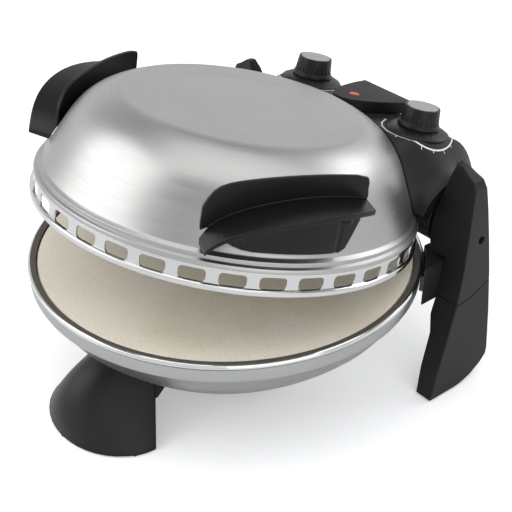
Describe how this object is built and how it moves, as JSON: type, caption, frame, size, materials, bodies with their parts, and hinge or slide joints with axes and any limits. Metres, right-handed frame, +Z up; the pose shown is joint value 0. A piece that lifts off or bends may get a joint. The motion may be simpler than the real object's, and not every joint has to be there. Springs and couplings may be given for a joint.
{
  "type": "pizza_maker",
  "caption": "Electric pizza maker: steel bowl with a baking stone, hinged dome lid with window slots, side handles, dial housing, front foot and rear legs.",
  "frame": {"origin": "On the table, under the middle of the whole object's box with the lid at its resting angle.", "axes": "X runs across the front, from the left leg to the right leg; +Y points to the back, where the hinge and the dials are; +Z is up."},
  "size_m": [0.3306, 0.3563, 0.2603],
  "materials": {
    "satin_steel": "satin",
    "polished_steel": "polished",
    "bright_sheet": "bright",
    "element_steel": "heat darkened",
    "screw_steel": "plated",
    "black_steel": "satin",
    "black_plastic": "fine matte",
    "black_rubber": "matte",
    "baking_stone": "fine grained",
    "white_ceramic": "unglazed",
    "bush_brass": "turned",
    "lens_red": "clear gloss"
  },
  "bodies": {
    "base": {"bowl_shell": "satin_steel", "bowl_rim": "polished_steel", "stone": "baking_stone", "lower_reflector": "bright_sheet", "lower_element": "element_steel", "lower_clips": "bright_sheet", "lower_terminals": "white_ceramic", "front_foot": "black_plastic", "foot_neck": "black_plastic", "foot_screws": "screw_steel", "foot_pads": "black_rubber", "rear_band": "black_steel", "arm_left": "black_steel", "arm_right": "black_steel", "arm_screws": "screw_steel", "leg_upper_left": "black_plastic", "leg_upper_right": "black_plastic", "leg_lower_left": "black_plastic", "leg_lower_right": "black_plastic", "leg_screws": "screw_steel", "leg_pads": "black_rubber", "hinge_pins": "screw_steel"},
    "lid": {"lid_band": "polished_steel", "lid_dome": "satin_steel", "lid_liner": "bright_sheet", "upper_element": "element_steel", "upper_clips": "bright_sheet", "upper_terminals": "white_ceramic", "handle_left": "black_plastic", "handle_right": "black_plastic", "handle_base_left": "black_plastic", "handle_base_right": "black_plastic", "handle_screws": "screw_steel", "housing": "black_plastic", "housing_cover": "black_plastic", "housing_screws": "screw_steel", "hinge_bushes": "bush_brass", "panel": "black_plastic", "lamp_lens": "lens_red", "collar_left": "black_plastic", "collar_right": "black_plastic", "timer_unit": "screw_steel", "thermostat_unit": "screw_steel", "cord_gland": "black_rubber"},
    "dial_left": {"knob_left": "black_plastic", "knob_cap_left": "satin_steel", "shaft_left": "bush_brass"},
    "dial_right": {"knob_right": "black_plastic", "knob_cap_right": "satin_steel", "shaft_right": "bush_brass"}
  },
  "joints": [
    {"name": "lid_hinge", "type": "hinge", "parent": "base", "child": "lid", "pos_m": [0, 0.13034, 0.141], "axis": [-1, 0, 0], "range_deg": [-13, 53]},
    {"name": "timer_knob", "type": "hinge", "parent": "lid", "child": "dial_left", "pos_m": [-0.0655, 0.14013, 0.20629], "axis": [0, 0.2079, 0.9781], "range_deg": [-300, 0]},
    {"name": "thermostat_knob", "type": "hinge", "parent": "lid", "child": "dial_right", "pos_m": [0.0655, 0.14013, 0.20629], "axis": [0, 0.2079, 0.9781], "range_deg": [-270, 0]}
  ]
}
